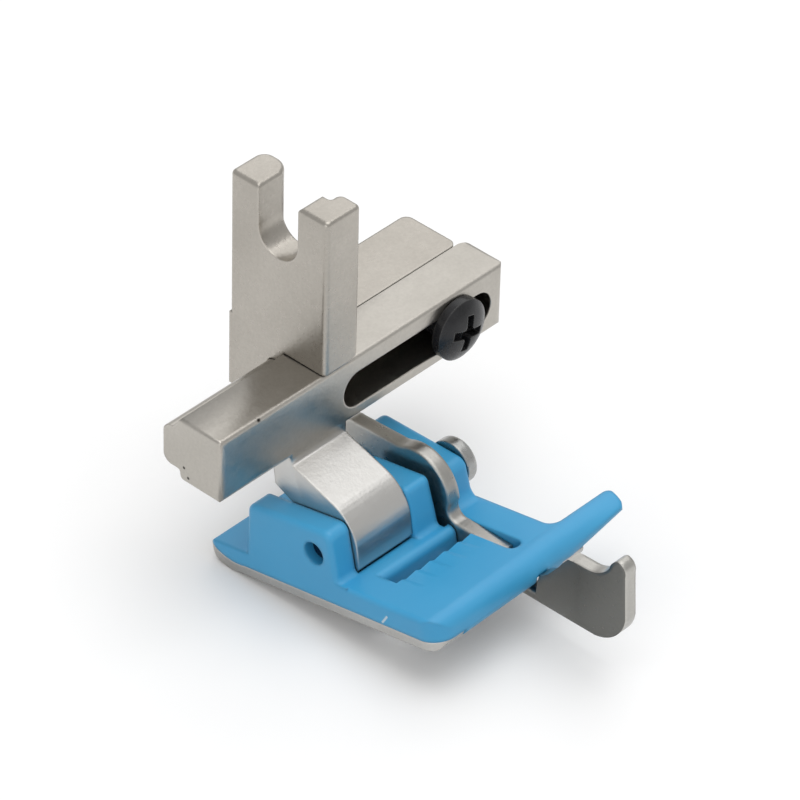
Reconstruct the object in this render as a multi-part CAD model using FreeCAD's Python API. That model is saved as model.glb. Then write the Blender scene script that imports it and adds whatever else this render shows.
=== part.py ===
import FreeCAD, Part
import math
import os

from FreeCAD import Vector

# The origin is the centre of the round bottom of the shank's screw notch.
# +Z is up along the presser bar, -Y points at the person sewing and +X to their right.

# Shank: the fork plate that hangs on the presser bar, with the rear bar that guides the slide
PLATE_THICK = 2.53
SHANK_WIDTH = 9.74
NOTCH_RADIUS = 1.98
NOTCH_DEPTH = 5.53
SHANK_TOP = NOTCH_DEPTH - NOTCH_RADIUS
SHANK_TOP_ROUND = 0.35
SHANK_EDGE_ROUND = 0.4
LIP_REACH = 3.57
LIP_WIDTH = 2.1
LIP_ROUND = 0.6
LIP_INNER_ROUND = 0.22
LIP_FOOT_ROUND = 1.1
FLANGE_FRONT_ROUND = 1.5
FLANGE_REAR_ROUND = 1.0
BAR_TOP = -10.36
LIP_GAP = 0.08
REAR_BAR_DEPTH = 5.27
REAR_BAR_LENGTH = 18.9
REAR_BAR_ROUND = 0.7
GROOVE_PLAY = 0.05
THREAD_RADIUS = 1.5

# Slide bar: slotted front bar with its tongue behind and the hinge lug below
BAR_LENGTH = 30.6
BAR_DEPTH = 4.15
BAR_HEIGHT = 5.65
BAR_OVERHANG = 10.86
BAR_TOP_ROUND = 0.35
BAR_LEAN = 0.1
BAR_LEAN_HEIGHT = 1.05
BAR_LOW_FRONT_ROUND = 0.5
BAR_LOW_REAR_ROUND = 0.7
BAR_LEFT_ROUND = 0.3
BAR_CORNER_ROUND = 0.5
BAR_RIGHT_ROUND = 0.9
SLOT_HEIGHT = 3.2
SLOT_LEFT = 12.95
SLOT_RIGHT = 29.05
SLOT_DROP = 2.95
TONGUE_DEPTH = 1.7
TONGUE_TOP_STEP = 1.04
TONGUE_BOTTOM_STEP = 1.0
TONGUE_ROUND = 0.8
TONGUE_ROOT_ROUND = 0.3
TONGUE_RAMP = 0.76
LUG_LEFT = 7.5
LUG_WIDTH = 5.74
LUG_REAR = 2.15
LUG_CREASE = 0.65
LUG_END_RADIUS = 2.92

# Clamp screw with a low domed head
SCREW_X = 25.04
SCREW_RADIUS = 1.45
SCREW_LENGTH = 7.2
SCREW_END_CHAMFER = 0.35
HEAD_RADIUS = 2.55
HEAD_HEIGHT = 1.36
HEAD_RIM = 0.7
HEAD_GAP = 0.02
RECESS_WIDTH = 0.72
RECESS_REACH = 1.5
RECESS_DEPTH = 0.85
RECESS_CENTRE = 0.6
HEAD_TURN = 76.0

# Hinge pin
PIN_FORWARD = 4.25
PIN_DROP = 10.97
PIN_RADIUS = 0.95
PIN_RECESS = 0.8
PIN_CHAMFER = 0.15
PIN_FIT = 0.02
PIN_RUNNING = 0.05
PIN_HEAD_RADIUS = 1.9
PIN_HEAD_HEIGHT = 1.15
PIN_HEAD_ROUND = 0.4

# Foot, in its own frame: u forward and w up from the hinge pin, x as in the whole part
FOOT_PITCH = 10.7
FOOT_LEFT = 5.4
FOOT_WIDTH = 14.8
FOOT_RIGHT = FOOT_LEFT + FOOT_WIDTH
PLATE_TOP = -2.05
TAIL_TOP = -2.6
BODY_BOTTOM = -3.9
SOLE_BOTTOM = -4.65
TAIL_END = -11.7
TAIL_CORNER = 1.0
TOE_FRONT = 12.05
TOE_CORNER = 1.8
TOE_STEP = 10.7
ROLL_START_LEFT = 10.9
ROLL_START_RIGHT = 10.0
PLATE_EDGE_ROUND = 0.35
EAR_TOP = 2.05
EAR_REAR = -6.55
EAR_FRONT = 1.9
EAR_CORNER = 0.75
EAR_EDGE_ROUND = 0.45
EAR_BASE_ROUND = 0.5
LEFT_EAR_WIDTH = 2.02
RIGHT_EAR_WIDTH = 2.73
RIGHT_EAR_FALL = 0.16
BLOCK_WIDTH = 2.3
BLOCK_REAR = -3.4
BLOCK_EDGE_ROUND = 0.25
LUG_SIDE_PLAY = 0.06
POCKET_PLAY = 0.1
NEEDLE_LEFT = 8.05
NEEDLE_REAR = 4.0
NEEDLE_FRONT = 5.6
NEEDLE_LIP_ROUND = 0.65
GAUGE_COUNT = 5
GAUGE_START = 0.55
GAUGE_PITCH = 1.52
GAUGE_LENGTH = 2.0
GAUGE_DEPTH = 0.2
GAUGE_VALLEY = 0.3
WING_REACH = 26.35
WING_SLANT = 0.45
WING_REAR = 10.1
WING_INSIDE_ROUND = 1.0
WING_TIP_ROUND = 0.5
WING_TIP_BOTTOM = -3.15

# Guide blade: a lever on the hinge pin, with its own frame f forward and h up from the pin
BLADE_LEFT = 16.2
BLADE_THICK = 1.15
BLADE_PLAY = 0.08
HUB_RADIUS = 3.58
NECK_TOP = -2.95
SLOT_FRONT = 9.8
HUB_SLOT_REAR = -1.2
SHEET_SLOT_REAR = 0.0
TUNNEL_TOP = -3.5
TUNNEL_MOUTH = -3.72

# Corners of the sole sheet that wrap the toe's underside
TAB_REAR = 10.65
LEFT_TAB_END = 8.4
RIGHT_TAB_START = 19.0
RIGHT_TAB_END = 21.4
TAB_GAP = 0.04
TAB_CUT_REAR = 9.9


def shank_left():
    return -PLATE_THICK / 2


def bar_left():
    return shank_left() - BAR_OVERHANG


def front_face():
    return -SHANK_WIDTH / 2


def pin_point():
    return Vector(0, front_face() - PIN_FORWARD, BAR_TOP - PIN_DROP)


def side(pair):
    """Forward and up from the pin, as a point in the plane of the bar's left end."""
    return pin_point() + Vector(bar_left(), -pair[0], pair[1])


def foot_plan(pair):
    """X from the bar's left end and forward from the pin, as a point under the foot."""
    return pin_point() + Vector(bar_left() + pair[0], -pair[1], 2 * SOLE_BOTTOM)


def bar_section(pair):
    """Back and up from the bar's front top edge, as a point in the plane of its left end."""
    return Vector(bar_left(), front_face() + pair[0], BAR_TOP + pair[1])


def bar_plan(pair):
    return Vector(bar_left() + pair[0], front_face() + pair[1], BAR_TOP - 2 * BAR_HEIGHT)


def bar_face(pair):
    return Vector(bar_left() + pair[0], front_face() - BAR_DEPTH, BAR_TOP + pair[1])


def shank_plan(pair):
    return Vector(shank_left() + pair[0], front_face() + pair[1], BAR_TOP)


def wire(steps, place):
    """A closed outline of pairs, where a step of four numbers is an arc by way of its first pair."""
    edges = []
    here = steps[0]
    for step in steps[1:] + [steps[0]]:
        end = step[-2:]
        if len(step) == 4:
            edges.append(Part.Arc(place(here), place(step[:2]), place(end)).toShape())
        else:
            edges.append(Part.LineSegment(place(here), place(end)).toShape())
        here = end
    return Part.Wire(edges)


def rounded(corners, place):
    """A closed face from corners (first, second, radius), each rounded by its own radius."""
    steps = []
    for i, (first, second, radius) in enumerate(corners):
        here = Vector(first, second, 0)
        back = Vector(*corners[i - 1][:2], 0) - here
        ahead = Vector(*corners[(i + 1) % len(corners)][:2], 0) - here
        half = back.getAngle(ahead) / 2
        reach = radius / math.tan(half)
        start = here + back.normalize() * reach
        end = here + ahead.normalize() * reach
        middle = here + (back + ahead).normalize() * (radius / math.sin(half) - radius)
        if not steps or (start - steps[-1][-1]).Length > 1e-6:
            steps.append((start,))
        if radius:
            steps.append((middle, end))
    flat = [tuple(value for point in step for value in (point.x, point.y)) for step in steps]
    return Part.Face(wire(flat, place))


def box(x0, x1, y0, y1, z0, z1):
    return Part.makeBox(x1 - x0, y1 - y0, z1 - z0, Vector(x0, y0, z0))


def rod(start, direction, radius, length):
    return Part.makeCylinder(radius, length, start, direction)


def slab(face, left, width):
    """A face in the plane of the bar's left end, as a solid that runs along X."""
    solid = face.extrude(Vector(width, 0, 0))
    solid.translate(Vector(left, 0, 0))
    return solid


def pitch(shape):
    """Turns a solid drawn level about the hinge pin to the foot's rest pitch."""
    turned = shape.copy()
    turned.rotate(pin_point(), Vector(1, 0, 0), -FOOT_PITCH)
    return turned


def foot_box(x0, x1, u0, u1, w0, w1):
    at = pin_point()
    left = bar_left()
    return box(left + x0, left + x1, at.y - u1, at.y - u0, at.z + w0, at.z + w1)


def pin_hole(radius):
    start = pin_point() + Vector(bar_left() - 1, 0, 0)
    return rod(start, Vector(1, 0, 0), radius, BAR_LENGTH + 2)


def slide_section():
    """The slide bar's section: a leaning front, a low tongue behind and rounds along its edges."""
    bottom = -BAR_HEIGHT
    tongue_bottom = bottom + TONGUE_BOTTOM_STEP
    rear = BAR_DEPTH + TONGUE_DEPTH
    corners = [
        (BAR_LEAN, 0, BAR_TOP_ROUND),
        (0, -BAR_LEAN_HEIGHT, 0),
        (0, bottom, BAR_LOW_FRONT_ROUND),
        (BAR_DEPTH, bottom, BAR_LOW_REAR_ROUND),
        (BAR_DEPTH, tongue_bottom, TONGUE_ROOT_ROUND),
        (rear, tongue_bottom, TONGUE_ROUND),
        (rear, -TONGUE_TOP_STEP, TONGUE_ROUND),
        (BAR_DEPTH + TONGUE_RAMP, -TONGUE_TOP_STEP, 0),
        (BAR_DEPTH, 0, 0),
    ]
    return rounded(corners, bar_section)


def post(corners, bottom):
    return rounded(corners, shank_plan).extrude(Vector(0, 0, SHANK_TOP - BAR_TOP)).common(
        box(-BAR_LENGTH, BAR_LENGTH, -BAR_LENGTH, BAR_LENGTH, bottom, SHANK_TOP + 1))


def fork():
    """The web with its U notch, the lip in front of it and the flange behind."""
    left = shank_left()
    half = SHANK_WIDTH / 2
    under = BAR_TOP + LIP_GAP
    web = post([(0, 0, SHANK_EDGE_ROUND), (PLATE_THICK, 0, 0), (PLATE_THICK, SHANK_WIDTH, 0),
                (0, SHANK_WIDTH, SHANK_EDGE_ROUND)], under)
    notch = box(left - 1, left + LIP_REACH + 1, -NOTCH_RADIUS, NOTCH_RADIUS, 0, SHANK_TOP + 1)
    notch = notch.fuse(rod(Vector(left - 1, 0, 0), Vector(1, 0, 0), NOTCH_RADIUS, LIP_REACH + 2))
    web = web.cut(notch.removeSplitter())
    lip = post([(SHANK_EDGE_ROUND, 0, 0), (LIP_REACH, 0, SHANK_EDGE_ROUND), (LIP_REACH, LIP_WIDTH, LIP_ROUND),
                (PLATE_THICK, LIP_WIDTH, LIP_INNER_ROUND), (PLATE_THICK, LIP_WIDTH + LIP_INNER_ROUND, 0),
                (SHANK_EDGE_ROUND, LIP_WIDTH + LIP_INNER_ROUND, 0)], under)
    toe = LIP_FOOT_ROUND
    foot = box(left + LIP_REACH - toe, left + LIP_REACH + 1, front_face() - 1, 0, under - 1, under + toe)
    foot = foot.cut(rod(Vector(left + LIP_REACH - toe, front_face() - 2, under + toe), Vector(0, 1, 0), toe, 4 * toe))
    lip = lip.cut(foot)
    flange = post([(SHANK_EDGE_ROUND, half + NOTCH_RADIUS, 0), (LIP_REACH, half + NOTCH_RADIUS, FLANGE_FRONT_ROUND),
                   (LIP_REACH, SHANK_WIDTH, FLANGE_REAR_ROUND), (SHANK_EDGE_ROUND, SHANK_WIDTH, 0)], BAR_TOP)
    return web.fuse([lip, flange]).removeSplitter()


def shank():
    left = shank_left()
    front = front_face()
    half = SHANK_WIDTH / 2
    body = fork()
    crown = [e for e in body.Edges if abs(e.CenterOfMass.z - SHANK_TOP) < 0.01]
    body = body.makeFillet(SHANK_TOP_ROUND, crown)
    slide_back = front + BAR_DEPTH + GROOVE_PLAY
    low = BAR_TOP - BAR_HEIGHT
    rear_plate = box(left, left + PLATE_THICK, slide_back, half, low, BAR_TOP + 1)
    right = left + REAR_BAR_LENGTH
    rear_bar = box(left, right, slide_back, slide_back + REAR_BAR_DEPTH, low, BAR_TOP)
    end = [e for e in rear_bar.Edges if abs(e.CenterOfMass.x - right) < 0.01 and abs(e.CenterOfMass.z - BAR_TOP) > 1
           and abs(e.CenterOfMass.z - low) > 1]
    rear_bar = rear_bar.makeFillet(REAR_BAR_ROUND, end)
    body = body.fuse([rear_plate, rear_bar]).removeSplitter()
    groove = slab(Part.Face(slide_section().OuterWire.makeOffset2D(GROOVE_PLAY)), -1, BAR_LENGTH + 2)
    hole = rod(Vector(bar_left() + SCREW_X, slide_back - 1, BAR_TOP - SLOT_DROP), Vector(0, 1, 0),
               THREAD_RADIUS, REAR_BAR_DEPTH + 2)
    return body.cut([groove, hole])


def lug():
    """The hinge lug: a curved front, a slanted back and a round end about the pin."""
    top = PIN_DROP - BAR_HEIGHT + 0.6
    crease = PIN_DROP - BAR_HEIGHT - LUG_CREASE
    r = LUG_END_RADIUS
    back_low = (-r * math.cos(0.25), r * math.sin(0.25))
    outline = [(-PIN_FORWARD, top), (-PIN_FORWARD, crease), (-0.14, 3.4), (1.58, 2.26, 2.43, 0.39), (2.66, -1.2),
               (0.0, -r, back_low[0], back_low[1]),
               (-PIN_FORWARD - LUG_REAR + 0.45, 2.1), (-PIN_FORWARD - LUG_REAR, top)]
    return slab(Part.Face(wire(outline, side)), LUG_LEFT, LUG_WIDTH)


def slot_solid():
    """The long slot that the clamp screw stands in."""
    radius = SLOT_HEIGHT / 2
    z = BAR_TOP - SLOT_DROP
    left = bar_left() + SLOT_LEFT + radius
    right = bar_left() + SLOT_RIGHT - radius
    depth = BAR_DEPTH + TONGUE_DEPTH + 2
    slot = box(left, right, front_face() - 1, front_face() - 1 + depth, z - radius, z + radius)
    ends = [rod(Vector(x, front_face() - 1, z), Vector(0, 1, 0), radius, depth) for x in (left, right)]
    return slot.fuse(ends).removeSplitter()


def slide_bar():
    tongue_end = BAR_LENGTH - BAR_RIGHT_ROUND
    run = slide_section().extrude(Vector(BAR_LENGTH, 0, 0))
    rear = BAR_DEPTH + TONGUE_DEPTH + 1
    plan = rounded([(0, 0, BAR_CORNER_ROUND), (BAR_LENGTH, 0, BAR_RIGHT_ROUND),
                    (BAR_LENGTH, BAR_DEPTH, BAR_RIGHT_ROUND), (tongue_end, rear, 0), (0, rear, 0)], bar_plan)
    plan = plan.extrude(Vector(0, 0, 3 * BAR_HEIGHT))
    face = rounded([(0, 0, BAR_LEFT_ROUND), (BAR_LENGTH, 0, BAR_LEFT_ROUND),
                    (BAR_LENGTH, -BAR_HEIGHT, BAR_RIGHT_ROUND), (0, -BAR_HEIGHT, BAR_LEFT_ROUND)], bar_face)
    face = face.extrude(Vector(0, 4 * BAR_DEPTH, 0))
    body = run.common(plan).common(face)
    body = body.fuse(lug()).removeSplitter()
    return body.cut([slot_solid(), pin_hole(PIN_RADIUS + PIN_RUNNING)])


def clamp_screw():
    rim = Vector(HEAD_RADIUS, 0, HEAD_RIM)
    crown = Vector(0, 0, HEAD_HEIGHT)
    shoulder = Vector(HEAD_RADIUS * 0.62, 0, HEAD_HEIGHT - 0.12)
    edges = [Part.LineSegment(Vector(0, 0, 0), Vector(HEAD_RADIUS, 0, 0)).toShape(),
             Part.LineSegment(Vector(HEAD_RADIUS, 0, 0), rim).toShape(),
             Part.Arc(rim, shoulder, crown).toShape(),
             Part.LineSegment(crown, Vector(0, 0, 0)).toShape()]
    head = Part.Face(Part.Wire(edges)).revolve(Vector(0, 0, 0), Vector(0, 0, 1), 360)
    floor = HEAD_HEIGHT - RECESS_DEPTH
    cuts = [Part.makeCylinder(RECESS_CENTRE, HEAD_HEIGHT, Vector(0, 0, floor))]
    for turn in (0, 90):
        arm = Part.makeBox(2 * RECESS_REACH, RECESS_WIDTH, HEAD_HEIGHT,
                           Vector(-RECESS_REACH, -RECESS_WIDTH / 2, floor))
        arm.rotate(Vector(0, 0, 0), Vector(0, 0, 1), HEAD_TURN + turn)
        cuts.append(arm)
    head = head.cut(cuts)
    shaft = Part.makeCylinder(SCREW_RADIUS, SCREW_LENGTH, Vector(0, 0, -SCREW_LENGTH))
    shaft = shaft.makeChamfer(SCREW_END_CHAMFER,
                              [e for e in shaft.Edges if abs(e.CenterOfMass.z + SCREW_LENGTH) < 0.01])
    screw = head.fuse(shaft).removeSplitter()
    screw.rotate(Vector(0, 0, 0), Vector(1, 0, 0), 90)
    screw.translate(Vector(bar_left() + SCREW_X, front_face() - HEAD_GAP, BAR_TOP - SLOT_DROP))
    return screw


def hinge_pin():
    left = bar_left() + FOOT_LEFT + PIN_RECESS
    right = bar_left() + FOOT_RIGHT
    at = pin_point()
    shaft = rod(Vector(left, at.y, at.z), Vector(1, 0, 0), PIN_RADIUS, right - left)
    shaft = shaft.makeChamfer(PIN_CHAMFER, [e for e in shaft.Edges if abs(e.CenterOfMass.x - left) < 0.01])
    head = rod(Vector(right, at.y, at.z), Vector(1, 0, 0), PIN_HEAD_RADIUS, PIN_HEAD_HEIGHT)
    outer = [e for e in head.Edges if abs(e.CenterOfMass.x - right - PIN_HEAD_HEIGHT) < 0.01]
    head = head.makeFillet(PIN_HEAD_ROUND, outer)
    return shaft.fuse(head).removeSplitter()


def foot_outline():
    """The foot's plan as a tall solid: round tail and toe corners and the wing at the toe's right."""
    corners = [
        (FOOT_LEFT, TAIL_END, TAIL_CORNER),
        (FOOT_RIGHT, TAIL_END, TAIL_CORNER),
        (FOOT_RIGHT, WING_REAR, WING_INSIDE_ROUND),
        (WING_REACH, WING_REAR, WING_TIP_ROUND),
        (WING_REACH - WING_SLANT, TOE_FRONT, WING_TIP_ROUND),
        (FOOT_LEFT, TOE_FRONT, TOE_CORNER),
    ]
    return rounded(corners, foot_plan).extrude(Vector(0, 0, -4 * SOLE_BOTTOM))


def foot_plate():
    """The blue plate: a tail that curves up, a flat top and a rolled nose that widens to the right."""
    def section(roll, over, under):
        return [(TAIL_END + 0.75, TAIL_TOP), (EAR_REAR + 0.5, TAIL_TOP), (EAR_REAR + 0.5, PLATE_TOP),
                (roll, PLATE_TOP), over + (TOE_FRONT, -3.35), under + (10.9, SOLE_BOTTOM),
                (TOE_STEP, SOLE_BOTTOM), (TOE_STEP, BODY_BOTTOM), (-7.8, BODY_BOTTOM),
                (-10.2, -3.6, TAIL_END + 0.45, -2.95)]
    start = wire(section(ROLL_START_LEFT, (11.78, -2.45), (11.88, -4.3)), side)
    end = wire(section(ROLL_START_RIGHT, (11.5, -2.4), (11.8, -4.15)), side)
    start.translate(Vector(FOOT_LEFT, 0, 0))
    end.translate(Vector(FOOT_RIGHT, 0, 0))
    return Part.makeLoft([start, end], True, True)


def wing():
    """The toe's reach past the plate's right side: the nose's roll, thinned straight to the tip."""
    root = [(WING_REAR, PLATE_TOP), (11.5, -2.4, TOE_FRONT, -3.35), (11.8, -4.15, 10.9, SOLE_BOTTOM),
            (WING_REAR, SOLE_BOTTOM)]
    tip = [(WING_REAR, PLATE_TOP), (11.4, -2.15, TOE_FRONT, -2.5), (11.85, -2.9, 11.4, WING_TIP_BOTTOM),
           (WING_REAR, WING_TIP_BOTTOM)]
    start = wire(root, side)
    end = wire(tip, side)
    start.translate(Vector(FOOT_RIGHT - 0.5, 0, 0))
    end.translate(Vector(WING_REACH + 0.5, 0, 0))
    reach = Part.makeLoft([start, end], True, True)
    inside = WING_INSIDE_ROUND
    corner = foot_box(FOOT_RIGHT - 0.2, FOOT_RIGHT + inside, WING_REAR - inside, WING_REAR, BODY_BOTTOM, PLATE_TOP)
    return [reach, corner]


def edge_rounds(shape, x, radius):
    """Rounds the long edges of a slab's side face above the plate."""
    at = pin_point()
    edges = [e for e in shape.Edges if abs(e.CenterOfMass.x - bar_left() - x) < 0.001 and e.BoundBox.XLength < 0.001
             and e.CenterOfMass.z > at.z + PLATE_TOP + 0.01]
    return shape.makeFillet(radius, edges)


def left_ear():
    corners = [(-7.6, PLATE_TOP - 1, 0), (EAR_REAR, EAR_TOP, EAR_CORNER), (EAR_FRONT, EAR_TOP + 0.2, EAR_CORNER),
               (EAR_FRONT + 0.15, PLATE_TOP, EAR_BASE_ROUND), (EAR_FRONT + 1, PLATE_TOP, 0),
               (EAR_FRONT + 1, PLATE_TOP - 1, 0)]
    ear = slab(rounded(corners, side), FOOT_LEFT, LEFT_EAR_WIDTH)
    return edge_rounds(ear, FOOT_LEFT, EAR_EDGE_ROUND)


def right_ear():
    rear_top = EAR_TOP + 0.45
    front_top = rear_top + RIGHT_EAR_FALL * (EAR_REAR - EAR_FRONT)
    corners = [(-7.6, PLATE_TOP - 1, 0), (EAR_REAR, rear_top, EAR_CORNER), (EAR_FRONT, front_top, 1.0),
               (EAR_FRONT + 0.3, PLATE_TOP, 2 * EAR_BASE_ROUND), (EAR_FRONT + 2, PLATE_TOP, 0),
               (EAR_FRONT + 2, PLATE_TOP - 1, 0)]
    ear = slab(rounded(corners, side), FOOT_RIGHT - RIGHT_EAR_WIDTH, RIGHT_EAR_WIDTH)
    return edge_rounds(ear, FOOT_RIGHT, EAR_EDGE_ROUND)


def block():
    """The short block between the lug and the guide blade."""
    left = LUG_LEFT + LUG_WIDTH + LUG_SIDE_PLAY
    corners = [(BLOCK_REAR, BODY_BOTTOM + 0.3, 0), (BLOCK_REAR, EAR_TOP, 0.4), (2.25, EAR_TOP, 0.5),
               (2.58, -0.6, 0), (2.72, PLATE_TOP, 0.5), (3.3, PLATE_TOP, 0), (3.3, BODY_BOTTOM + 0.3, 0)]
    solid = slab(rounded(corners, side), left, BLOCK_WIDTH)
    return edge_rounds(solid, left, BLOCK_EDGE_ROUND)


def foot_body():
    body = foot_plate().fuse([left_ear(), right_ear(), block()] + wing()).removeSplitter()
    body = body.common(foot_outline())
    body = body.cut(rim_round())
    tabs = [foot_box(x0, x1, TAB_CUT_REAR, TOE_FRONT + 1, 2 * SOLE_BOTTOM, BODY_BOTTOM)
            for x0, x1 in ((FOOT_LEFT - 1, LEFT_TAB_END), (RIGHT_TAB_START, RIGHT_TAB_END + TAB_GAP))]
    pocket = pocket_solid(FOOT_LEFT + LEFT_EAR_WIDTH, LUG_LEFT + LUG_WIDTH + LUG_SIDE_PLAY)
    body = body.cut(tabs + [pocket, needle_slot(), blade_slot(), pin_hole(PIN_RADIUS + PIN_FIT)])
    return pitch(body).removeSplitter()


def rim_round():
    """What the round along the plate's left top edge leaves outside it."""
    at = pin_point()
    r = PLATE_EDGE_ROUND
    start = EAR_FRONT + 1.1
    outside = foot_box(FOOT_LEFT - 1, FOOT_LEFT + r, start, TOE_FRONT + 1, PLATE_TOP - r, PLATE_TOP + 1)
    round_bar = rod(Vector(bar_left() + FOOT_LEFT + r, at.y - start + 1, at.z + PLATE_TOP - r), Vector(0, -1, 0),
                    r, TOE_FRONT + 2)
    return outside.cut(round_bar)


def pocket_solid(x0, x1):
    """The round-bottomed pocket that the lug turns in, open to the tail."""
    r = LUG_END_RADIUS + POCKET_PLAY
    drum = rod(pin_point() + Vector(bar_left() + x0, 0, 0), Vector(1, 0, 0), r, x1 - x0)
    back = foot_box(x0, x1, -6.2, 0, -r, 3)
    back = back.cut(foot_box(x0 - 1, x1 + 1, -6.3, -r, -4, TAIL_TOP))
    return drum.fuse(back)


def needle_slot():
    """The needle's slot: a rounded rear lip, and shallow flutes that run forward from its front edge."""
    right = BLADE_LEFT + 0.2
    lip = NEEDLE_REAR - NEEDLE_LIP_ROUND
    middle = NEEDLE_LIP_ROUND * (1 - math.sqrt(0.5))
    outline = [(lip, PLATE_TOP), (NEEDLE_REAR - middle, PLATE_TOP - middle, NEEDLE_REAR, PLATE_TOP - NEEDLE_LIP_ROUND),
               (NEEDLE_REAR, 2 * SOLE_BOTTOM), (NEEDLE_FRONT, 2 * SOLE_BOTTOM), (NEEDLE_FRONT, 0), (lip, 0)]
    slot = slab(Part.Face(wire(outline, side)), NEEDLE_LEFT, right - NEEDLE_LEFT)
    flutes = [flute(NEEDLE_LEFT + GAUGE_START + i * GAUGE_PITCH) for i in range(GAUGE_COUNT)]
    return slot.fuse(flutes)


def flute(x):
    """One shallow V groove: deepest at the slot and run out to nothing in front."""
    at = pin_point()
    start = Vector(bar_left() + x, at.y - NEEDLE_FRONT + 0.2, at.z + PLATE_TOP)
    valley = GAUGE_PITCH * GAUGE_VALLEY
    mouth = [start, start + Vector(GAUGE_PITCH, 0, 0), start + Vector(valley, 0, -GAUGE_DEPTH), start]
    tip = start + Vector(0, -GAUGE_LENGTH - 0.2, 0)
    end = [tip, tip + Vector(GAUGE_PITCH, 0, 0), tip + Vector(valley, 0, -0.01), tip]
    solid = Part.makeLoft([Part.makePolygon(mouth), Part.makePolygon(end)], True, True)
    solid.translate(Vector(0, 0, 0.005))
    return solid


def blade_slot():
    """The slot that the guide blade swings in, with a low tunnel on through the nose."""
    x0 = BLADE_LEFT - BLADE_PLAY
    x1 = BLADE_LEFT + BLADE_THICK + BLADE_PLAY
    at = pin_point()
    gap = foot_box(x0 - 0.45, x1, -12.5, 3.3, BODY_BOTTOM + 0.25, 4)
    gap = gap.cut(foot_box(x0 - 1, x1 + 1, -12.6, -6.6, BODY_BOTTOM, TAIL_TOP))
    radius = (x1 - x0) / 2
    through = foot_box(x0, x1, HUB_SLOT_REAR, SLOT_FRONT - radius, -6, 4)
    end = rod(Vector(bar_left() + x0 + radius, at.y - SLOT_FRONT + radius, at.z - 6), Vector(0, 0, 1), radius, 10)
    roof = [(1.0, -6), (1.0, TUNNEL_TOP), (SLOT_FRONT, TUNNEL_TOP), (TOE_FRONT + 1, TUNNEL_MOUTH),
            (TOE_FRONT + 1, -6)]
    tunnel = slab(Part.Face(wire(roof, side)), x0, x1 - x0)
    return gap.fuse([through, end, tunnel])


def sole_plate():
    """The bent sheet under the foot: curved up behind, with two corners that show at the toe."""
    outline = [(-7.8, BODY_BOTTOM), (-10.2, -3.6, TAIL_END + 0.45, -2.95), (TAIL_END + 0.1, -3.2),
               (-10.75, -4.2, -8.6, SOLE_BOTTOM), (10.9, SOLE_BOTTOM), (11.6, -4.45, 11.85, BODY_BOTTOM)]
    sheet = slab(Part.Face(wire(outline, side)), FOOT_LEFT, RIGHT_TAB_END - FOOT_LEFT)
    sheet = sheet.common(foot_outline())
    x0 = BLADE_LEFT - BLADE_PLAY
    x1 = BLADE_LEFT + BLADE_THICK + BLADE_PLAY
    low = 2 * SOLE_BOTTOM
    sheet = sheet.cut([
        foot_box(LEFT_TAB_END - TAB_GAP, RIGHT_TAB_START + TAB_GAP, TAB_REAR, TOE_FRONT + 1, low, 0),
        foot_box(FOOT_RIGHT, RIGHT_TAB_END + 1, TAIL_END, TAB_CUT_REAR + 0.3, low, 0),
        foot_box(NEEDLE_LEFT - 0.1, x1, NEEDLE_REAR - 0.1, NEEDLE_FRONT + 0.3, low, 0),
        foot_box(x0, x1, SHEET_SLOT_REAR, TOE_FRONT + 1, low, 0),
    ])
    return pitch(sheet)


def guide_blade():
    """The blade: a tail arm, a hub about the pin, a low neck under the toe and the tall front fin."""
    r = HUB_RADIUS
    outline = [(-7.2, 1.9), (-6.9, 2.65, -6.1, 2.85), (-2.2, 3.06), (-1.7, 3.09, -1.35, 3.18),
               (0.9, math.sqrt(r * r - 0.81), r * math.cos(0.1), r * math.sin(0.1)), (3.62, -0.6, 4.6, -1.05),
               (8.9, -1.05), (9.6, NECK_TOP), (13.2, NECK_TOP), (13.9, -2.75, 14.15, -1.9), (14.8, 0.8),
               (15.1, 1.6, 15.8, 2.03), (17.2, 2.08), (18.5, 2.55, 19.25, 3.44), (19.47, 4.0, 19.97, 4.42),
               (20.6, 4.1, 20.76, 3.39), (20.85, 1.75), (20.99, -0.56), (20.03, -2.6, 18.15, -3.55),
               (14.8, -3.61), (1.0, -3.75), (-1.6, -3.3, -3.1, -1.2), (-3.5, 0.2, -4.4, 0.75), (-6.7, 0.95)]
    blade = slab(Part.Face(wire(outline, side)), BLADE_LEFT, BLADE_THICK)
    return blade.cut(pin_hole(PIN_RADIUS + PIN_RUNNING))


def main():
    os.makedirs("parts", exist_ok=True)
    parts = {
        "shank": shank,
        "slide_bar": slide_bar,
        "clamp_screw": clamp_screw,
        "hinge_pin": hinge_pin,
        "foot_body": foot_body,
        "sole_plate": sole_plate,
        "guide_blade": guide_blade,
    }
    for name, make in parts.items():
        shape = make()
        solids = shape.Solids
        print(name, len(solids), shape.isValid(), round(shape.Volume, 2), shape.BoundBox)
        if len(solids) == 1:
            shape = solids[0]
        shape.exportStep("parts/" + name + ".step")


main()
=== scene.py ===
import math

import bmesh
import bpy
from mathutils import Matrix, Vector


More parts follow.
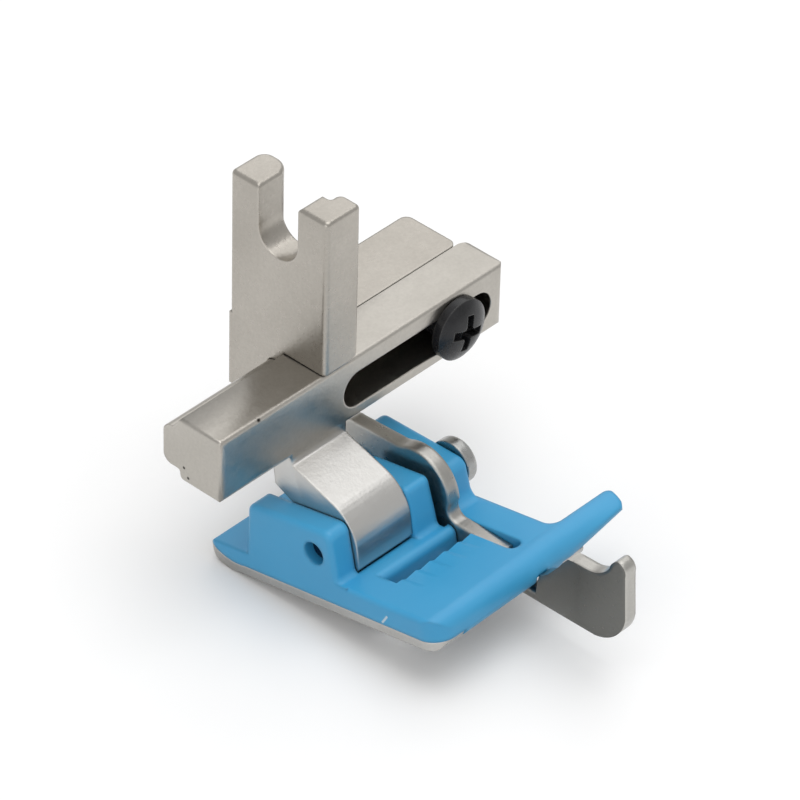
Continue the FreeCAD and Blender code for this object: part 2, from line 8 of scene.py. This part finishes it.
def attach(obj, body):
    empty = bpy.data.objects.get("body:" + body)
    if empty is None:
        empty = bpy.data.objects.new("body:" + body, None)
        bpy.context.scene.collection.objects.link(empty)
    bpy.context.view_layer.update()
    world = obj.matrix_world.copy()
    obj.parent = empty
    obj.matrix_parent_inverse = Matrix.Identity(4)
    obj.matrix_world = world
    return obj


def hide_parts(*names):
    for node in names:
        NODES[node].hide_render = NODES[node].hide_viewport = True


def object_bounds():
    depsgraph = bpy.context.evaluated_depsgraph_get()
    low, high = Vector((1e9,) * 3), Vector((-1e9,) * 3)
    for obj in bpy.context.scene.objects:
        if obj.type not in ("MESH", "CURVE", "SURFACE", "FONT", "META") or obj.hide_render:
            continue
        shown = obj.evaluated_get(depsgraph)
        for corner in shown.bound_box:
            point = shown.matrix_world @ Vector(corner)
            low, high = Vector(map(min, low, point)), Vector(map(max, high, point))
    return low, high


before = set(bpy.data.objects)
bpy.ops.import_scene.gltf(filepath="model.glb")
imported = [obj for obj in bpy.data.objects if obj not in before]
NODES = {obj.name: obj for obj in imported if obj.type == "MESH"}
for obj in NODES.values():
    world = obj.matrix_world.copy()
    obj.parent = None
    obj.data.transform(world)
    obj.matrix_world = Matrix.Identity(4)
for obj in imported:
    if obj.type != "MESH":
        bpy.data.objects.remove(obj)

CAD_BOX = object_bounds()
MM = 0.001

# Places on the part, in mm in its own frame: the slide bar's left end, front and top, the foot's
# left side, and how far the hinge pin lies before and below the frame's origin
BAR_LEFT = -12.125
BAR_FRONT = -4.87
BAR_TOP = -10.36
FOOT_LEFT = -6.725
PIN_FORWARD = 9.12
PIN_DROP = 21.33

# The photograph's camera: angles in degrees, distance and target in mm, pixels per mm at the
# target, and the pixel on which the target lies
VIEW_AZIMUTH = -47.70
VIEW_ELEVATION = 38.72
VIEW_ROLL = 1.37
VIEW_DISTANCE = 450.0
VIEW_SCALE = 13.5
VIEW_CENTRE = (374.63, 444.25)
VIEW_TARGET = Vector((BAR_LEFT + 14.459, BAR_FRONT - 1.807, BAR_TOP - 7.230))
VIEW_CLIP = (0.01, 10)
PHOTO_SIZE = 800
SENSOR = 36.0

# The web of the blade's fin, in mm: its outline before and above the hinge pin, and its two sides
# from the bar's left end
FIN_WEB = (
    (12.36, -3.1), (12.44, -2.2), (12.56, -1.4), (12.62, -1.2), (13.4, -0.6),
    (14.43, 0.7), (14.8, 1.3), (15.3, 1.95), (16.0, 2.045), (16.6, 1.6),
    (16.2, 0.0), (15.4, -2.0), (14.6, -3.2), (13.2, -3.3),
)
FIN_WEB_SIDES = (16.19, 17.36)

# The round rear corner at the slide bar's right end, in mm: the corner in X and Y, its radius, the
# lowest reach of the cut, and how far the cutter stands out of the bar
BAR_REAR_CORNER = (18.475, -0.72)
END_ROUND = 0.95
CUT_FLOOR = -11.36
CUT_MARGIN = 1.0
ARC_STEPS = 12

# Shading of the cut bar: the angle in degrees up to which edges are smooth, and how far large
# faces decide the normals
SMOOTH_ANGLE = 25.0
FACE_WEIGHT = 100

# The small edges of the foot's flutes aren't eased: the room they take up, in mm
FLUTE_PLACE = {"X": (-4.5, 4.2), "Y": (-17.3, -14.4), "Z": (-23.6, -21.3)}

# Marks that the photograph shows: their places and radii, in mm
EDGE_SPECK = (-8.08, -4.8, -10.44)
EDGE_SPECK_REACH = 0.24
END_PITS = ((BAR_LEFT, -1.11, -14.65), (BAR_LEFT, -1.54, -15.39))
END_PIT_REACH = 0.16
SIDE_NICK = (
    (FOOT_LEFT, -16.12, -23.75), (FOOT_LEFT, -16.2, -23.61), (FOOT_LEFT, -16.28, -23.47),
    (FOOT_LEFT, -16.36, -23.33), (FOOT_LEFT, -16.44, -23.18), (FOOT_LEFT, -16.51, -23.04),
)
SIDE_NICK_REACH = 0.13

# Where a look or a painted shade changes along an axis, in metres: its start and its full effect
LUG_Z = (-0.016, -0.0164)
FIN_SHADE_Y = (-0.0195, -0.0255)
PIN_SHADE_X = (0.0, -0.004)

# How far the X of a normal has to reach for a flat side with painted shade, from the first sign of
# it to certain
SIDE_FACING = (0.8, 0.97)

# Colours: the darker and lighter tone of each surface, then those of places and marks
SHANK_NICKEL = ((0.385, 0.36, 0.322), (0.455, 0.427, 0.385))
BAR_NICKEL = ((0.42, 0.398, 0.36), (0.49, 0.465, 0.425))
SOLE_STEEL = ((0.4, 0.39, 0.37), (0.5, 0.49, 0.47))
BLADE_STEEL = ((0.38, 0.37, 0.35), (0.46, 0.45, 0.42))
PIN_NICKEL = ((0.34, 0.345, 0.335), (0.42, 0.42, 0.41))
BLUE = ((0.042, 0.325, 0.6), (0.052, 0.358, 0.64))
OXIDE = ((0.009, 0.009, 0.01), (0.02, 0.02, 0.022))
LUG_BRIGHT = (0.56, 0.55, 0.53)
SPECK_DARK = (0.03, 0.028, 0.025)
PIT_DARK = (0.05, 0.046, 0.04)
# Painted shade on the blade's flat sides towards the fin
FIN_PAINTED_SHADE = (0.16, 0.16, 0.15)
# Painted shade on the pin's end down in the foot's hole
PIN_PAINTED_SHADE = (0.02, 0.05, 0.085)
# Paler plastic edges: wear and painted highlight
BLUE_WEAR_AND_HIGHLIGHT = (0.08, 0.41, 0.7)
NICK_PALE = (0.5, 0.62, 0.7)
# Greyer oxide edges: wear and painted highlight
OXIDE_WEAR_AND_HIGHLIGHT = (0.07, 0.068, 0.066)

# The middle of a noise's values, between which most of them lie
NOISE_MID = (0.3, 0.7)

# The metals' clouds, the specks and pits as parts of the dark tone, and rubbed edges, which are
# wear and painted highlight, as a multiple of the light one; spans are those of the noise or, for
# the pits' rims, of a distance
CLOUD_SPAN = (0.25, 0.75)
SPECK_SPAN = (0.35, 0.65)
SPECK_STRENGTH = (0.12, 0.0)
SPECK_SHADE = 0.55
WEAR_AND_HIGHLIGHT_TONE = 1.12
PIT_SCALE = 420
PIT_RIM = (0.05, 0.16)
PIT_CHANCE = (0.9, 1.0)
PIT_SHADE = 0.35

# Roughness of each metal, how it varies with the grain and what a pit adds; of plastic and oxide
SHANK_ROUGH = 0.29
BAR_ROUGH = 0.32
SOLE_ROUGH = 0.32
BLADE_ROUGH = 0.3
PIN_ROUGH = 0.28
GRAIN_ROUGH = (-0.03, 0.05)
PIT_ROUGH = 0.3
BLUE_ROUGH = (0.3, 0.42)
OXIDE_ROUGH = (0.22, 0.36)

# Eased edges, and rubbed edges that are wear and painted highlight: radii in metres, with the
# metals' rubbed ones as a multiple of the eased, how strongly the plastic's are rubbed, and the
# dot product of two normals at which an edge begins and is full
BEVEL_SAMPLES = 6
METAL_EDGE = 0.00022
METAL_WEAR_AND_HIGHLIGHT = 1.6
BLADE_EDGE = 0.0004
BLUE_EDGE = 0.00045
BLUE_WEAR_AND_HIGHLIGHT_EDGE = 0.0003
BLUE_WEAR_AND_HIGHLIGHT_STRENGTH = (0.25, 0.6)
OXIDE_EDGE = 0.00012
OXIDE_WEAR_AND_HIGHLIGHT_EDGE = 0.00018
EDGE_BEND = (0.995, 0.8)

# Bumps: strength, and height in metres
GRAIN_BUMP = (0.2, 0.00001)
GRIT_BUMP = (0.5, 0.00002)
SWIRL_BUMP = (0.2, 0.000015)
SKIN_BUMP = (0.2, 0.000006)
OXIDE_BUMP = (0.3, 0.00001)

# The floor and the light: sizes in metres, colours, and the strength of the room's light
FLOOR_REACH = 1.6
FLOOR_GAP = 0.00005
FLOOR_BOUNCE = (0.6, 0.6, 0.6)
FLOOR_WHITE = (0.97, 0.97, 0.97)
ROOM_LIGHT = 0.66

# Lamps: name, direction from the part, distance and side in metres, radiance
LAMPS = (
    ("overhead", (0.1, -0.1, 1), 0.4, 0.36, 1.7),
    ("rear_right", (0.577, 0.4, 0.6), 0.38, 0.26, 0.8),
    ("left_fill", (-1, -0.3, 0.35), 0.4, 0.25, 1.2),
)


def add(name, data):
    """Puts an object with the given data into the scene."""
    made = bpy.data.objects.new(name, data)
    bpy.context.scene.collection.objects.link(made)
    return made


def view_axes():
    az, el, roll = (math.radians(a) for a in (VIEW_AZIMUTH, VIEW_ELEVATION, VIEW_ROLL))
    level = Vector((math.cos(az), math.sin(az), 0))
    back = Vector((math.sin(az) * math.cos(el), -math.cos(az) * math.cos(el), math.sin(el)))
    rise = back.cross(level)
    right = math.cos(roll) * level + math.sin(roll) * rise
    up = -math.sin(roll) * level + math.cos(roll) * rise
    return right, up, back


def make_camera():
    right, up, back = view_axes()
    data = bpy.data.cameras.new("camera")
    camera = add("camera", data)
    data.sensor_fit = "HORIZONTAL"
    data.sensor_width = SENSOR
    data.lens = VIEW_SCALE * VIEW_DISTANCE / PHOTO_SIZE * SENSOR
    data.shift_x = (PHOTO_SIZE / 2 - VIEW_CENTRE[0]) / PHOTO_SIZE
    data.shift_y = (VIEW_CENTRE[1] - PHOTO_SIZE / 2) / PHOTO_SIZE
    data.clip_start, data.clip_end = VIEW_CLIP
    turn = Matrix((right, up, back)).transposed().to_4x4()
    camera.matrix_world = Matrix.Translation((VIEW_TARGET + back * VIEW_DISTANCE) * MM) @ turn
    bpy.context.scene.camera = camera


class Tree:
    """A small helper for building a material's nodes."""

    def __init__(self, name):
        self.material = bpy.data.materials.new(name)
        self.material.use_nodes = True
        self.tree = self.material.node_tree
        self.shader = self.tree.nodes["Principled BSDF"]
        self.place = self.node("ShaderNodeTexCoord").outputs["Object"]

    def node(self, kind, **settings):
        made = self.tree.nodes.new(kind)
        for name, value in settings.items():
            setattr(made, name, value)
        return made

    def join(self, source, target):
        self.tree.links.new(source, target)

    def set(self, **values):
        for name, value in values.items():
            self.shader.inputs[name.replace("_", " ")].default_value = value

    def paint(self, colour):
        """Gives the shader its colour and returns the material."""
        self.join(colour, self.shader.inputs["Base Color"])
        return self.material

    def scaled(self, scale):
        mapping = self.node("ShaderNodeMapping")
        mapping.inputs["Scale"].default_value = scale
        self.join(self.place, mapping.inputs["Vector"])
        return mapping.outputs["Vector"]

    def noise(self, scale, detail=3.0, rough=0.55, stretch=(1, 1, 1)):
        texture = self.node("ShaderNodeTexNoise")
        texture.inputs["Scale"].default_value = scale
        texture.inputs["Detail"].default_value = detail
        texture.inputs["Roughness"].default_value = rough
        self.join(self.scaled(stretch), texture.inputs["Vector"])
        return texture.outputs["Fac"]

    def ramp(self, source, span, tones):
        """From the first tone to the second while the source goes through the span."""
        made = self.node("ShaderNodeValToRGB")
        for element, at, tone in zip(made.color_ramp.elements, span, tones):
            element.position = at
            element.color = (*tone, 1)
        self.join(source, made.inputs["Fac"])
        return made.outputs["Color"]

    def range(self, source, span, result=(0.0, 1.0)):
        """Carries values from one span over to another, without going past its ends."""
        made = self.node("ShaderNodeMapRange")
        for name, value in zip(("From Min", "From Max", "To Min", "To Max"), (*span, *result)):
            made.inputs[name].default_value = value
        self.join(source, made.inputs["Value"])
        return made.outputs["Result"]

    def math(self, operation, *terms):
        made = self.node("ShaderNodeMath", operation=operation)
        for socket, term in zip(made.inputs, terms):
            if isinstance(term, (int, float)):
                socket.default_value = term
            else:
                self.join(term, socket)
        return made.outputs[0]

    def mix(self, factor, a, b):
        made = self.node("ShaderNodeMix", data_type="RGBA")
        self.join(factor, made.inputs["Factor"])
        for socket, value in ((made.inputs["A"], a), (made.inputs["B"], b)):
            if isinstance(value, tuple):
                socket.default_value = (*value, 1)
            else:
                self.join(value, socket)
        return made.outputs["Result"]

    def spot(self, colour, at, reach, tone):
        """A small mark with a soft rim, at a point and with a radius in mm."""
        away = self.node("ShaderNodeVectorMath", operation="DISTANCE")
        self.join(self.place, away.inputs[0])
        away.inputs[1].default_value = [c * MM for c in at]
        near = self.range(away.outputs["Value"], (0.5 * reach * MM, reach * MM), (1.0, 0.0))
        return self.mix(near, colour, tone)

    def split(self, source):
        made = self.node("ShaderNodeSeparateXYZ")
        self.join(source, made.inputs[0])
        return made.outputs

    def eased(self, radius):
        """The normal as if edges had the given radius."""
        bevel = self.node("ShaderNodeBevel", samples=BEVEL_SAMPLES)
        bevel.inputs["Radius"].default_value = radius
        return bevel.outputs["Normal"]

    def edge(self, radius):
        """0 on flat places, rising to about 1 where a rounded edge would bend the surface."""
        dot = self.node("ShaderNodeVectorMath", operation="DOT_PRODUCT")
        self.join(self.eased(radius), dot.inputs[0])
        self.join(self.node("ShaderNodeNewGeometry").outputs["Normal"], dot.inputs[1])
        return self.range(dot.outputs["Value"], EDGE_BEND)

    def relief(self, *layers, edge=0.0, crisp=None):
        """Stacks bump layers of (height, strength, distance) on a normal whose edges are eased,
        though not where crisp is 1."""
        last = self.eased(edge) if edge else None
        if crisp is not None:
            last = self.mix(crisp, last, self.node("ShaderNodeNewGeometry").outputs["Normal"])
        for height, strength, distance in layers:
            bump = self.node("ShaderNodeBump")
            bump.inputs["Strength"].default_value = strength
            bump.inputs["Distance"].default_value = distance
            self.join(height, bump.inputs["Height"])
            if last is not None:
                self.join(last, bump.inputs["Normal"])
            last = bump.outputs["Normal"]
        self.join(last, self.shader.inputs["Normal"])


def shaded(colour, factor):
    return tuple(min(1, c * factor) for c in colour)


def metal(name, tones, smooth, grain_stretch, edge=METAL_EDGE):
    """Plated steel: a satin grain, cloudy tarnish, bright rubbed edges that are wear and painted
    highlight, and, rarely, a dark pit.
    Gives back the tree and its colour, which paint() joins."""
    dark, light = tones
    t = Tree(name)
    t.set(Metallic=1.0)
    cloud = t.noise(scale=160, detail=4)
    fine = t.noise(scale=4200, detail=2, rough=0.5)
    grain = t.noise(scale=1700, detail=3, rough=0.6, stretch=grain_stretch)
    colour = t.ramp(cloud, CLOUD_SPAN, tones)
    speck = t.range(fine, SPECK_SPAN, SPECK_STRENGTH)
    colour = t.mix(speck, colour, shaded(dark, SPECK_SHADE))
    # Bright edges: wear and painted highlight
    colour = t.mix(t.edge(edge * METAL_WEAR_AND_HIGHLIGHT), colour, shaded(light, WEAR_AND_HIGHLIGHT_TONE))
    spots = t.node("ShaderNodeTexVoronoi", feature="F1")
    spots.inputs["Scale"].default_value = PIT_SCALE
    t.join(t.place, spots.inputs["Vector"])
    near = t.range(spots.outputs["Distance"], PIT_RIM, (1.0, 0.0))
    pit = t.math("MULTIPLY", near, t.range(t.noise(scale=330, detail=2), PIT_CHANCE))
    colour = t.mix(pit, colour, shaded(dark, PIT_SHADE))
    rough = t.range(grain, NOISE_MID, [smooth + change for change in GRAIN_ROUGH])
    rough = t.math("ADD", rough, t.math("MULTIPLY", pit, PIT_ROUGH))
    t.join(rough, t.shader.inputs["Roughness"])
    t.relief((grain, *GRAIN_BUMP), (fine, *GRIT_BUMP), edge=edge)
    return t, colour


def shank_metal():
    t, colour = metal("satin_nickel", SHANK_NICKEL, SHANK_ROUGH, (1, 1.2, 1))
    return t.paint(colour)


def sole_metal():
    t, colour = metal("sole_metal", SOLE_STEEL, SOLE_ROUGH, (3, 1, 1))
    return t.paint(colour)


def bar_metal():
    """The slide bar's plating, with a few marks, and a lighter tone on the lug under it."""
    t, colour = metal("bar_nickel", BAR_NICKEL, BAR_ROUGH, (0.8, 1, 1))
    # Lighter tone below the bar, on the lug
    colour = t.mix(t.range(t.split(t.place)["Z"], LUG_Z), colour, LUG_BRIGHT)
    colour = t.spot(colour, EDGE_SPECK, EDGE_SPECK_REACH, SPECK_DARK)
    for place in END_PITS:
        colour = t.spot(colour, place, END_PIT_REACH, PIT_DARK)
    return t.paint(colour)


def blade_metal(name="blade_metal", edge=BLADE_EDGE):
    """Sheet steel whose flat sides turn darker towards the fin: painted shade."""
    t, colour = metal(name, BLADE_STEEL, BLADE_ROUGH, (3, 1, 2), edge)
    # Painted shade: flat sides darker towards the fin
    sideways = t.split(t.place.node.outputs["Normal"])["X"]
    side = t.range(t.math("ABSOLUTE", sideways), SIDE_FACING)
    front = t.range(t.split(t.place)["Y"], FIN_SHADE_Y)
    return t.paint(t.mix(t.math("MULTIPLY", side, front), colour, FIN_PAINTED_SHADE))


def pin_metal():
    """The hinge pin: bright at its head, with painted shade on it down in its hole."""
    t, colour = metal("bright_nickel", PIN_NICKEL, PIN_ROUGH, (1, 1, 1))
    # Painted shade where the pin lies in the foot's hole
    inside = t.range(t.split(t.place)["X"], PIN_SHADE_X)
    return t.paint(t.mix(inside, colour, PIN_PAINTED_SHADE))


def plastic():
    """Moulded blue plastic: a fine satin surface, faint flow clouding and paler rubbed edges that
    are wear and painted highlight.
    """
    t = Tree("moulded_blue")
    cloud = t.noise(scale=120, detail=3)
    fine = t.noise(scale=5200, detail=3, rough=0.6)
    swirl = t.noise(scale=340, detail=4, rough=0.6, stretch=(1, 0.5, 1))
    colour = t.ramp(cloud, NOISE_MID, BLUE)
    # Paler edges: wear and painted highlight
    strength = t.range(swirl, NOISE_MID, BLUE_WEAR_AND_HIGHLIGHT_STRENGTH)
    colour = t.mix(t.math("MULTIPLY", t.edge(BLUE_WEAR_AND_HIGHLIGHT_EDGE), strength), colour, BLUE_WEAR_AND_HIGHLIGHT)
    for place in SIDE_NICK:
        colour = t.spot(colour, place, SIDE_NICK_REACH, NICK_PALE)
    t.join(t.range(swirl, NOISE_MID, BLUE_ROUGH), t.shader.inputs["Roughness"])
    t.set(Specular_IOR_Level=0.5)
    place = t.split(t.place)
    inside = 1
    for axis, (low, high) in FLUTE_PLACE.items():
        inside = t.math("MULTIPLY", inside, t.math("GREATER_THAN", place[axis], low * MM))
        inside = t.math("MULTIPLY", inside, t.math("LESS_THAN", place[axis], high * MM))
    t.relief((swirl, *SWIRL_BUMP), (fine, *SKIN_BUMP), edge=BLUE_EDGE, crisp=inside)
    return t.paint(colour)


def black():
    """The screw's black oxide: dark, faintly oily, greyer at its edges as wear and painted
    highlight.
    """
    t = Tree("black_oxide")
    cloud = t.noise(scale=500, detail=4)
    fine = t.noise(scale=3800, detail=3, rough=0.6)
    colour = t.ramp(cloud, NOISE_MID, OXIDE)
    # Greyer edges: wear and painted highlight
    colour = t.mix(t.edge(OXIDE_WEAR_AND_HIGHLIGHT_EDGE), colour, OXIDE_WEAR_AND_HIGHLIGHT)
    t.join(t.range(fine, NOISE_MID, OXIDE_ROUGH), t.shader.inputs["Roughness"])
    t.set(Metallic=0.1, Specular_IOR_Level=0.4)
    t.relief((fine, *OXIDE_BUMP), edge=OXIDE_EDGE)
    return t.paint(colour)


def make_materials():
    dressed = {
        "shank": shank_metal(),
        "slide_bar": bar_metal(),
        "sole_plate": sole_metal(),
        "hinge_pin": pin_metal(),
        "guide_blade": blade_metal(),
        "foot_body": plastic(),
        "clamp_screw": black(),
    }
    for name, material in dressed.items():
        mesh = NODES[name].data
        mesh.materials.clear()
        mesh.materials.append(material)


def prism(name, outline, place, levels):
    """A closed mesh between two copies of an outline. place gives the point, in mm, that belongs
    to a pair of the outline and a level."""
    shape = bmesh.new()
    ends = []
    for level in levels:
        ends.append([shape.verts.new(Vector(place(*pair, level)) * MM) for pair in outline])
        shape.faces.new(ends[-1])
    first, last = ends
    for i in range(len(outline)):
        j = (i + 1) % len(outline)
        shape.faces.new((first[i], first[j], last[j], last[i]))
    bmesh.ops.recalc_face_normals(shape, faces=shape.faces)
    mesh = bpy.data.meshes.new(name)
    shape.to_mesh(mesh)
    shape.free()
    return mesh


def corner_cutter():
    """A solid that takes the bar's square rear corner off to a round one."""
    right, rear = BAR_REAR_CORNER
    mid_x, mid_y = right - END_ROUND, rear - END_ROUND
    outline = []
    for step in range(ARC_STEPS + 1):
        turn = step / ARC_STEPS * math.pi / 2
        outline.append((mid_x + END_ROUND * math.sin(turn), mid_y + END_ROUND * math.cos(turn)))
    far_x, far_y = right + CUT_MARGIN, rear + CUT_MARGIN
    outline += [(far_x, mid_y), (far_x, far_y), (mid_x, far_y)]
    name = "rear_corner_cut"
    levels = (CUT_FLOOR, BAR_TOP + CUT_MARGIN)
    return add(name, prism(name, outline, lambda x, y, level: (x, y, level), levels))


def make_bar():
    """The slide bar as its solid has it, with the photograph's round rear corner."""
    bar = add("rounded_bar", NODES["slide_bar"].data.copy())
    cutter = corner_cutter()
    cut = bar.modifiers.new("rear_corner", "BOOLEAN")
    cut.operation = "DIFFERENCE"
    cut.solver = "EXACT"
    cut.object = cutter
    graph = bpy.context.evaluated_depsgraph_get()
    made = bpy.data.meshes.new_from_object(bar.evaluated_get(graph))
    bar.modifiers.clear()
    bar.data = made
    bpy.data.objects.remove(cutter)
    made.polygons.foreach_set("use_smooth", [True] * len(made.polygons))
    made.set_sharp_from_angle(angle=math.radians(SMOOTH_ANGLE))
    level = bar.modifiers.new("level_faces", "WEIGHTED_NORMAL")
    level.keep_sharp = True
    level.weight = FACE_WEIGHT
    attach(bar, "slide")
    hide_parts("slide_bar")


def make_fin_web():
    """The thin web that closes the blade's fin up to the blue nose."""
    def place(forward, up, side):
        return BAR_LEFT + side, -PIN_FORWARD - forward, up - PIN_DROP

    mesh = prism("fin_web", FIN_WEB, place, FIN_WEB_SIDES)
    # The web's metal carries the blade's painted shade too
    mesh.materials.append(blade_metal("fin_web_metal", edge=0))
    web = add("fin_web", mesh)
    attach(web, "blade")


def paper():
    """The floor: a mid pale paper for bounced light, near white to the camera and in
    reflections."""
    material = bpy.data.materials.new("floor_paper")
    material.use_nodes = True
    nodes, links = material.node_tree.nodes, material.node_tree.links
    nodes.clear()
    path = nodes.new("ShaderNodeLightPath").outputs
    seen = path["Is Camera Ray"]
    for ray in ("Is Glossy Ray", "Is Transmission Ray"):
        either = nodes.new("ShaderNodeMath")
        either.operation = "MAXIMUM"
        links.new(seen, either.inputs[0])
        links.new(path[ray], either.inputs[1])
        seen = either.outputs[0]
    mix = nodes.new("ShaderNodeMixShader")
    links.new(seen, mix.inputs["Fac"])
    for socket, colour in zip(mix.inputs[1:], (FLOOR_BOUNCE, FLOOR_WHITE)):
        sheet = nodes.new("ShaderNodeBsdfDiffuse")
        sheet.inputs["Color"].default_value = (*colour, 1)
        links.new(sheet.outputs[0], socket)
    links.new(mix.outputs[0], nodes.new("ShaderNodeOutputMaterial").inputs["Surface"])
    return material


def make_lamp(name, direction, distance, side, radiance):
    """A soft box in the given direction from the part, as bright as radiance says in a mirror."""
    data = bpy.data.lights.new(name, "AREA")
    data.shape = "RECTANGLE"
    data.size = data.size_y = side
    data.energy = radiance * math.pi * side * side
    light = add(name, data)
    towards = Vector(direction).normalized()
    light.location = VIEW_TARGET * MM + towards * distance
    light.rotation_mode = "QUATERNION"
    light.rotation_quaternion = towards.to_track_quat("Z", "Y")


def make_world():
    """Even light from all round, which the camera itself sees as white."""
    world = bpy.data.worlds.new("studio")
    bpy.context.scene.world = world
    world.use_nodes = True
    nodes, links = world.node_tree.nodes, world.node_tree.links
    path = nodes.new("ShaderNodeLightPath")
    background = nodes["Background"]
    background.inputs["Color"].default_value = (1, 1, 1, 1)
    level = nodes.new("ShaderNodeMapRange")
    level.inputs["To Min"].default_value = ROOM_LIGHT
    level.inputs["To Max"].default_value = 1.0
    links.new(path.outputs["Is Camera Ray"], level.inputs["Value"])
    links.new(level.outputs["Result"], background.inputs["Strength"])


def make_floor():
    low = CAD_BOX[0].z - FLOOR_GAP
    square = ((-1, -1), (1, -1), (1, 1), (-1, 1))
    corners = [(x * FLOOR_REACH, y * FLOOR_REACH, low) for x, y in square]
    mesh = bpy.data.meshes.new("floor")
    mesh.from_pydata(corners, [], [(0, 1, 2, 3)])
    mesh.materials.append(paper())
    floor = add("floor", mesh)


def make_stage():
    make_floor()
    make_world()
    for lamp in LAMPS:
        make_lamp(*lamp)


def main():
    make_camera()
    make_materials()
    make_bar()
    make_fin_web()
    make_stage()
    bpy.context.scene.view_settings.view_transform = "Standard"


main()
